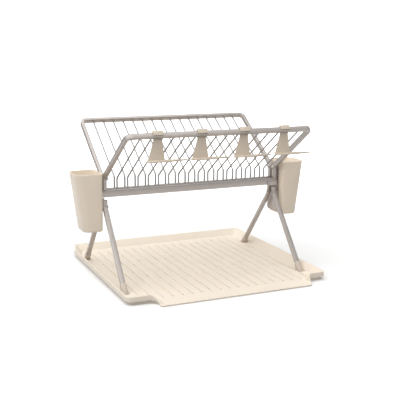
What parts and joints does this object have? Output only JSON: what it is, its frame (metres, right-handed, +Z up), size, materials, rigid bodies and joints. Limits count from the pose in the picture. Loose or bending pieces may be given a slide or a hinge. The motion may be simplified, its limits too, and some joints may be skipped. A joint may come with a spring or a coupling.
{
  "type": "dish rack",
  "caption": "Folding dish rack: two wire baskets in a V on crossed legs, cutlery cups at both ends, clip-on glass holders and a ribbed drip tray.",
  "frame": {"origin": "on the table, on the drip tray's underside, under the middle of the rack", "axes": "+X to the right along the rails, -Y to the front where the glass holders hang, +Z up"},
  "size_m": [0.533, 0.445, 0.3239],
  "materials": {
    "tray_plastic": "moulded polypropylene with a fine matt texture",
    "cream_plastic": "moulded plastic, satin",
    "steel_bar": "warm grey satin coating on steel bar",
    "steel_wire": "warm grey satin coating on steel wire"
  },
  "bodies": {
    "tray": {"drip_tray": "tray_plastic"},
    "hinge_plates": {"left_hinge_plate": "steel_bar", "right_hinge_plate": "steel_bar", "front_left_knee_pin": "steel_bar", "front_right_knee_pin": "steel_bar", "rear_left_knee_pin": "steel_bar", "rear_right_knee_pin": "steel_bar"},
    "front_basket": {"front_basket_frame": "steel_bar", "front_basket_bottom_rail": "steel_bar", "front_basket_wire_01": "steel_wire", "front_basket_wire_02": "steel_wire", "front_basket_wire_03": "steel_wire", "front_basket_wire_04": "steel_wire", "front_basket_wire_05": "steel_wire", "front_basket_wire_06": "steel_wire", "front_basket_wire_07": "steel_wire", "front_basket_wire_08": "steel_wire", "front_basket_wire_09": "steel_wire", "front_basket_wire_10": "steel_wire", "front_basket_wire_11": "steel_wire", "front_basket_wire_12": "steel_wire", "front_basket_wire_13": "steel_wire", "front_basket_wire_14": "steel_wire", "front_basket_wire_15": "steel_wire", "front_basket_wire_16": "steel_wire", "glass_holder_1": "cream_plastic", "glass_holder_2": "cream_plastic", "glass_holder_3": "cream_plastic", "glass_holder_4": "cream_plastic"},
    "rear_basket": {"rear_basket_frame": "steel_bar", "rear_basket_bottom_rail": "steel_bar", "rear_basket_wire_01": "steel_wire", "rear_basket_wire_02": "steel_wire", "rear_basket_wire_03": "steel_wire", "rear_basket_wire_04": "steel_wire", "rear_basket_wire_05": "steel_wire", "rear_basket_wire_06": "steel_wire", "rear_basket_wire_07": "steel_wire", "rear_basket_wire_08": "steel_wire", "rear_basket_wire_09": "steel_wire", "rear_basket_wire_10": "steel_wire", "rear_basket_wire_11": "steel_wire", "rear_basket_wire_12": "steel_wire", "rear_basket_wire_13": "steel_wire", "rear_basket_wire_14": "steel_wire", "rear_basket_wire_15": "steel_wire", "rear_basket_wire_16": "steel_wire"},
    "front_left_leg_with_shoe": {"front_left_leg": "steel_bar", "front_left_shoe": "cream_plastic"},
    "front_right_leg_with_shoe": {"front_right_leg": "steel_bar", "front_right_shoe": "cream_plastic"},
    "rear_left_leg_with_shoe": {"rear_left_leg": "steel_bar", "rear_left_shoe": "cream_plastic"},
    "rear_right_leg_with_shoe": {"rear_right_leg": "steel_bar", "rear_right_shoe": "cream_plastic"},
    "left_cup": {"left_cutlery_cup": "cream_plastic"},
    "right_cup": {"right_cutlery_cup": "cream_plastic"}
  },
  "joints": [
    {"name": "rack_lift", "type": "slide", "parent": "tray", "child": "hinge_plates", "axis": [0, 0, 1], "range_m": [0, 0.16]},
    {"name": "front_basket_fold", "type": "hinge", "parent": "hinge_plates", "child": "front_basket", "pos_m": [0, -0.009, 0.2105], "axis": [-1, 0, 0], "range_deg": [0, 55.16]},
    {"name": "rear_basket_fold", "type": "hinge", "parent": "hinge_plates", "child": "rear_basket", "pos_m": [0, 0.009, 0.2105], "axis": [1, 0, 0], "range_deg": [0, 55.16]},
    {"name": "front_left_leg_fold", "type": "hinge", "parent": "hinge_plates", "child": "front_left_leg_with_shoe", "pos_m": [-0.2, -0.0102, 0.1516], "axis": [1, 0, 0], "range_deg": [0, 39.4]},
    {"name": "front_right_leg_fold", "type": "hinge", "parent": "hinge_plates", "child": "front_right_leg_with_shoe", "pos_m": [0.2, -0.0102, 0.1516], "axis": [1, 0, 0], "range_deg": [0, 39.4]},
    {"name": "rear_left_leg_fold", "type": "hinge", "parent": "hinge_plates", "child": "rear_left_leg_with_shoe", "pos_m": [-0.2, 0.0102, 0.1516], "axis": [-1, 0, 0], "range_deg": [0, 39.4]},
    {"name": "rear_right_leg_fold", "type": "hinge", "parent": "hinge_plates", "child": "rear_right_leg_with_shoe", "pos_m": [0.2, 0.0102, 0.1516], "axis": [-1, 0, 0], "range_deg": [0, 39.4]},
    {"name": "left_cup_lift", "type": "slide", "parent": "hinge_plates", "child": "left_cup", "axis": [0, 0, 1], "range_m": [0, 0.13]},
    {"name": "right_cup_lift", "type": "slide", "parent": "hinge_plates", "child": "right_cup", "axis": [0, 0, 1], "range_m": [0, 0.13]}
  ],
  "couplings": [
    {"joint": "front_left_leg_fold", "follows": "rack_lift", "rad_per_m": 4.29},
    {"joint": "front_right_leg_fold", "follows": "rack_lift", "rad_per_m": 4.29},
    {"joint": "rear_left_leg_fold", "follows": "rack_lift", "rad_per_m": 4.29},
    {"joint": "rear_right_leg_fold", "follows": "rack_lift", "rad_per_m": 4.29}
  ]
}
